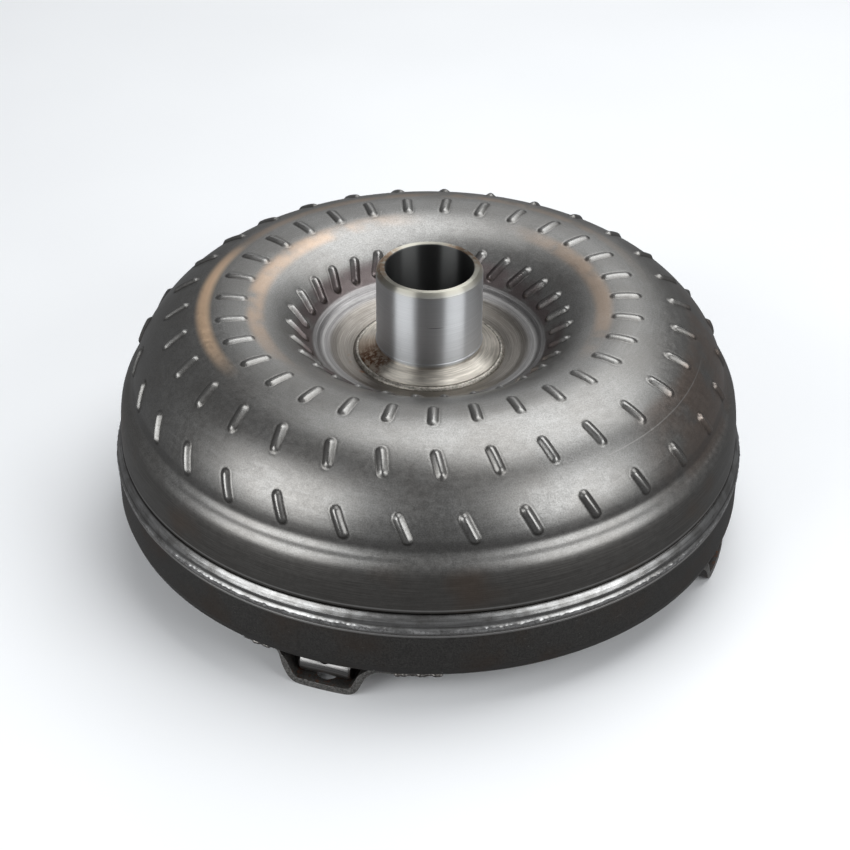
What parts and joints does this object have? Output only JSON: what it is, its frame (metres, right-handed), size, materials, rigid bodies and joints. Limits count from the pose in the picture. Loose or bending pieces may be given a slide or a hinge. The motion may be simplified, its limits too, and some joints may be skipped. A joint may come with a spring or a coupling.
{
  "type": "torque converter",
  "caption": "Welded torque converter: dimpled impeller shell with a ground hub sleeve, deep cover with drive lugs, and turbine, stator and lock-up clutch inside.",
  "frame": {"origin": "on the axis, in the plane of the drive lugs' undersides", "axes": "+Z along the axis, from the engine side to the hub; -Y faces the camera of the picture"},
  "size_m": [0.3084, 0.3084, 0.1393],
  "materials": {
    "cover": "dark oxide, satin",
    "weld": "rolled weld bead with a bright flash",
    "pilot": "turned",
    "shell": "washed bare pressing, satin, brown heat tint",
    "hub": "ground, fine circumferential lines",
    "blade": "pressed sheet",
    "turbine": "pressed sheet",
    "race": "machined",
    "stator": "die casting",
    "bearing": "ground",
    "washer": "sintered bronze",
    "seal": "matt",
    "piston": "pressed sheet",
    "lining": "paper friction material",
    "damper": "pressed sheet",
    "lug": "dark scale, worn edges",
    "nut": "turned bar",
    "roller": "ground",
    "spring": "blued wire"
  },
  "bodies": {
    "housing": {"front_cover": "cover", "pilot_boss": "pilot", "closing_weld": "weld", "impeller_shell": "shell", "impeller_hub": "hub", "hub_weld": "weld", "impeller_blades": "blade", "cover_thrust_washer": "washer", "drive_lug_1": "lug", "drive_lug_2": "lug", "drive_lug_3": "lug", "drive_lug_4": "lug", "barrel_nut_1": "nut", "barrel_nut_2": "nut", "barrel_nut_3": "nut", "barrel_nut_4": "nut"},
    "turbine": {"turbine_shell": "turbine", "turbine_blades": "blade", "turbine_hub": "race", "damper_driven_plate": "damper", "piston_seal": "seal"},
    "damper": {"damper_retainer": "damper", "damper_spring_1": "spring", "damper_spring_2": "spring", "damper_spring_3": "spring", "damper_spring_4": "spring", "damper_spring_5": "spring", "damper_spring_6": "spring"},
    "piston": {"lockup_piston": "piston", "friction_lining": "lining"},
    "stator_race": {"stator_inner_race": "race"},
    "stator": {"stator_wheel": "stator", "stator_cam_race": "race", "stator_side_plate_lower": "damper", "stator_side_plate_upper": "damper", "thrust_bearing_lower": "bearing", "thrust_bearing_upper": "bearing", "stator_roller_1": "roller", "stator_roller_2": "roller", "stator_roller_3": "roller", "stator_roller_4": "roller", "stator_roller_5": "roller", "stator_roller_6": "roller", "stator_roller_7": "roller", "stator_roller_8": "roller"}
  },
  "joints": [
    {"name": "turbine_spin", "type": "hinge", "parent": "housing", "child": "turbine", "pos_m": [0, 0, 0.05], "axis": [0, 0, 1], "continuous": true},
    {"name": "damper_twist", "type": "hinge", "parent": "turbine", "child": "damper", "pos_m": [0, 0, 0.034], "axis": [0, 0, 1], "range_deg": [-5, 5], "stiffness_Nm_per_rad": 200, "deforming": ["damper_spring_1", "damper_spring_2", "damper_spring_3", "damper_spring_4", "damper_spring_5", "damper_spring_6"]},
    {"name": "piston_release", "type": "slide", "parent": "damper", "child": "piston", "axis": [0, 0, 1], "range_m": [0, 0.0012]},
    {"name": "stator_race_spin", "type": "hinge", "parent": "housing", "child": "stator_race", "pos_m": [0, 0, 0.073], "axis": [0, 0, 1], "continuous": true},
    {"name": "stator_freewheel", "type": "hinge", "parent": "stator_race", "child": "stator", "pos_m": [0, 0, 0.073], "axis": [0, 0, 1], "continuous": true}
  ]
}
